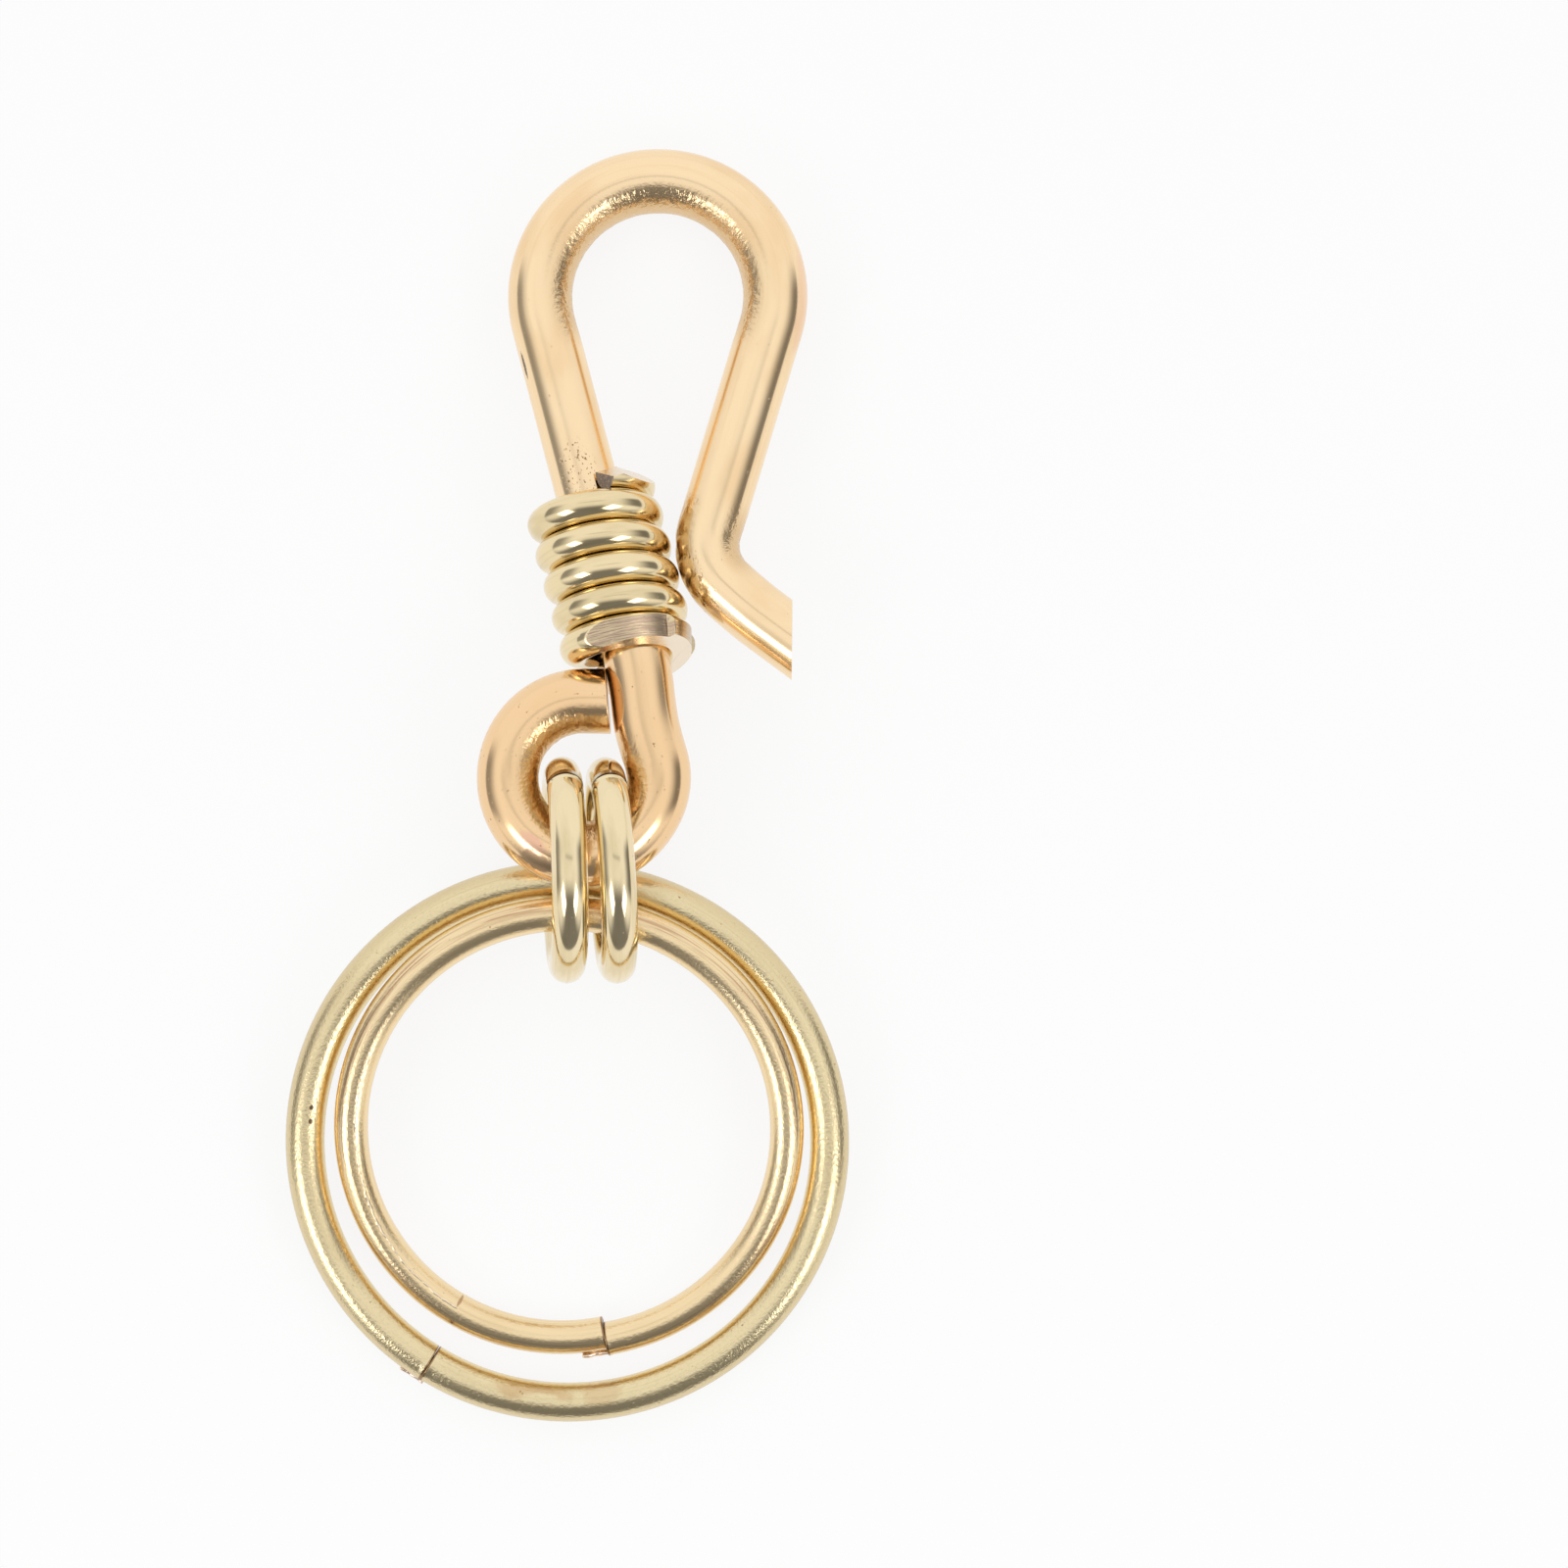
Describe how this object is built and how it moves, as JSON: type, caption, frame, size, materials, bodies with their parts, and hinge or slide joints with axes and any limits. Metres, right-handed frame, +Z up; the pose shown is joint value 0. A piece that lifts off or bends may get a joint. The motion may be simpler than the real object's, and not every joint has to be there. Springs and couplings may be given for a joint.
{
  "type": "key ring",
  "caption": "Brass belt hook bent from rod, with a wire-wrapped shank, link rings through its closed eye and key rings hung from them.",
  "frame": {"origin": "under the middle of the bounding box, on the table that the object lies on", "axes": "+Y from the key rings to the hook's crown, +X towards the side that the hook's tip points to, +Z up off the table"},
  "size_m": [0.0434, 0.0984, 0.0172],
  "materials": {
    "hook_brass": "satin, cold bent, unlacquered",
    "wrap_brass": "polished",
    "link_brass": "polished",
    "large_ring_brass": "satin, fine pits",
    "small_ring_brass": "satin, drawn"
  },
  "bodies": {
    "hook": {"hook_rod": "hook_brass", "wire_wrap": "wrap_brass"},
    "link_left": {"link_ring_left": "link_brass"},
    "link_right": {"link_ring_right": "link_brass"},
    "large_ring": {"large_key_ring": "large_ring_brass"},
    "small_ring": {"small_key_ring": "small_ring_brass"}
  },
  "joints": [
    {"name": "link_left_swing", "type": "hinge", "parent": "hook", "child": "link_left", "pos_m": [-0.00017, -0.00532, 0.00851], "axis": [0.9932, 0.0347, -0.1115], "range_deg": [-80, 40]},
    {"name": "link_right_swing", "type": "hinge", "parent": "hook", "child": "link_right", "pos_m": [0.00333, -0.00532, 0.00851], "axis": [0.9913, 0.0693, -0.1115], "range_deg": [-80, 40]},
    {"name": "large_ring_swing", "type": "hinge", "parent": "link_left", "child": "large_ring", "pos_m": [0, -0.00739, 0.00474], "axis": [1, 0, 0], "range_deg": [0, 120]},
    {"name": "small_ring_swing", "type": "hinge", "parent": "link_left", "child": "small_ring", "pos_m": [0.00017, -0.00994, 0.00668], "axis": [1, 0, 0], "range_deg": [-105, 0]}
  ],
  "couplings": [
    {"joint": "link_right_swing", "follows": "link_left_swing", "ratio": 1}
  ]
}
